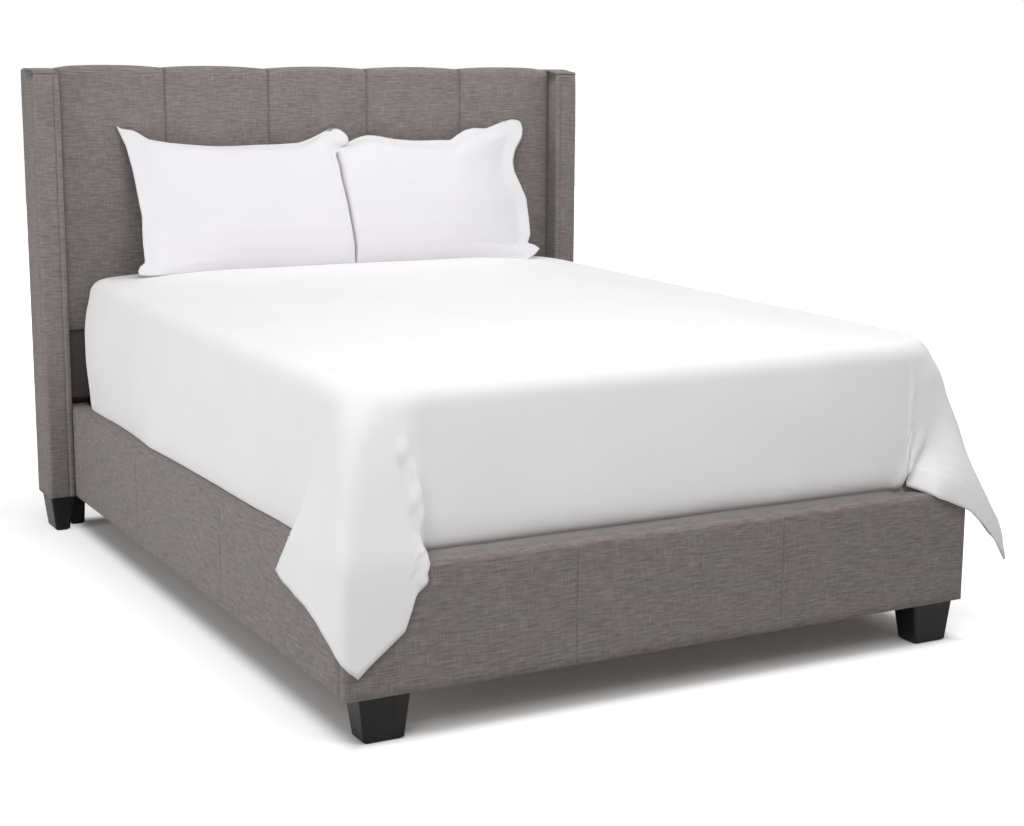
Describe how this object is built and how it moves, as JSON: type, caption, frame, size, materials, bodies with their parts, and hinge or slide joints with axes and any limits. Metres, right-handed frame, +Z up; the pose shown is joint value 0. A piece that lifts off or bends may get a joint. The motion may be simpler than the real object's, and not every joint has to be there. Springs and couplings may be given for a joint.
{
  "type": "upholstered panel bed",
  "caption": "Upholstered bed with a channel-tufted headboard between slim wings, padded rails, block legs, and white bedding with its lower corners untucked.",
  "frame": {"origin": "on the floor, under the middle of the bed's outer box", "axes": "+X to the bed's right seen from its foot, +Y from the foot to the headboard, +Z up"},
  "size_m": [1.802, 2.2288, 1.372],
  "materials": {
    "upholstery_linen": "matt woven linen look, warm grey",
    "bedding_cotton": "matt white cotton",
    "mattress_ticking": "matt off-white knit",
    "foundation_cloth": "matt pale cloth",
    "webbing": "woven tape",
    "slat_wood": "planed pine",
    "frame_wood": "raw board",
    "black_wood": "satin black stain",
    "pad_rubber": "matt",
    "glide_plastic": "moulded",
    "black_steel": "satin black powder coat",
    "zinc_steel": "bright zinc"
  },
  "bodies": {
    "frame": {"beam_hangers": "black_steel", "centre_beam": "slat_wood", "centre_leg_foot": "slat_wood", "centre_leg_head": "slat_wood", "centre_leg_middle": "slat_wood", "centre_leg_studs": "zinc_steel", "corner_angle_bolts": "zinc_steel", "corner_angles": "black_steel", "corner_blocks": "frame_wood", "foot_leg_left": "black_wood", "foot_leg_right": "black_wood", "footboard_core": "frame_wood", "footboard_cover": "upholstery_linen", "glide_inserts": "zinc_steel", "hanger_screws": "zinc_steel", "headboard_back_cover": "upholstery_linen", "headboard_backing_board": "frame_wood", "headboard_bottom_rail": "frame_wood", "headboard_lower_panel": "upholstery_linen", "headboard_middle_rail": "frame_wood", "headboard_post_left": "frame_wood", "headboard_post_right": "frame_wood", "headboard_struts": "frame_wood", "headboard_top_rail": "frame_wood", "headboard_tufted_pad": "upholstery_linen", "ledge_screws": "zinc_steel", "leg_pads": "pad_rubber", "leg_studs": "zinc_steel", "post_leg_left": "black_wood", "post_leg_right": "black_wood", "post_slot_plates": "black_steel", "rail_hook_plates": "black_steel", "side_rail_core_left": "frame_wood", "side_rail_core_right": "frame_wood", "side_rail_cover_left": "upholstery_linen", "side_rail_cover_right": "upholstery_linen", "slat_ledge_left": "frame_wood", "slat_ledge_right": "frame_wood", "slat_straps": "webbing", "slats": "slat_wood", "wing_bolts": "zinc_steel", "wing_core_left": "frame_wood", "wing_core_right": "frame_wood", "wing_cover_left": "upholstery_linen", "wing_cover_right": "upholstery_linen", "wing_leg_left": "black_wood", "wing_leg_right": "black_wood"},
    "foundation": {"foundation": "foundation_cloth"},
    "mattress": {"mattress": "mattress_ticking"},
    "duvet": {"duvet": "bedding_cotton"},
    "pillow_left": {"pillow_left": "bedding_cotton"},
    "pillow_right": {"pillow_right": "bedding_cotton"},
    "glide_pad_foot": {"glide_pad_foot": "glide_plastic"},
    "glide_pad_middle": {"glide_pad_middle": "glide_plastic"},
    "glide_pad_head": {"glide_pad_head": "glide_plastic"},
    "glide_stem_foot": {"glide_stem_foot": "zinc_steel"},
    "glide_stem_middle": {"glide_stem_middle": "zinc_steel"},
    "glide_stem_head": {"glide_stem_head": "zinc_steel"}
  },
  "joints": [
    {"name": "glide_foot_travel", "type": "slide", "parent": "frame", "child": "glide_pad_foot", "axis": [0, 0, -1], "range_m": [0, 0.015]},
    {"name": "glide_foot_turn", "type": "hinge", "parent": "glide_pad_foot", "child": "glide_stem_foot", "pos_m": [0, -0.4856, 0.02], "axis": [0, 0, 1], "range_deg": [0, 4319]},
    {"name": "glide_middle_travel", "type": "slide", "parent": "frame", "child": "glide_pad_middle", "axis": [0, 0, -1], "range_m": [0, 0.015]},
    {"name": "glide_middle_turn", "type": "hinge", "parent": "glide_pad_middle", "child": "glide_stem_middle", "pos_m": [0, 0.0144, 0.02], "axis": [0, 0, 1], "range_deg": [0, 4319]},
    {"name": "glide_head_travel", "type": "slide", "parent": "frame", "child": "glide_pad_head", "axis": [0, 0, -1], "range_m": [0, 0.015]},
    {"name": "glide_head_turn", "type": "hinge", "parent": "glide_pad_head", "child": "glide_stem_head", "pos_m": [0, 0.5144, 0.02], "axis": [0, 0, 1], "range_deg": [0, 4319]},
    {"name": "foundation_lift", "type": "slide", "parent": "frame", "child": "foundation", "axis": [0, 0, 1], "range_m": [0, 0.3]},
    {"name": "mattress_lift", "type": "slide", "parent": "foundation", "child": "mattress", "axis": [0, 0, 1], "range_m": [0, 0.3]},
    {"name": "duvet_lift", "type": "slide", "parent": "mattress", "child": "duvet", "axis": [0, 0, 1], "range_m": [0, 0.6]},
    {"name": "pillow_left_lift", "type": "slide", "parent": "duvet", "child": "pillow_left", "axis": [0, 0, 1], "range_m": [0, 0.25]},
    {"name": "pillow_right_lift", "type": "slide", "parent": "duvet", "child": "pillow_right", "axis": [0, 0, 1], "range_m": [0, 0.25]}
  ],
  "couplings": [
    {"joint": "glide_foot_travel", "follows": "glide_foot_turn", "m_per_rad": 0.00019894},
    {"joint": "glide_middle_travel", "follows": "glide_middle_turn", "m_per_rad": 0.00019894},
    {"joint": "glide_head_travel", "follows": "glide_head_turn", "m_per_rad": 0.00019894}
  ]
}
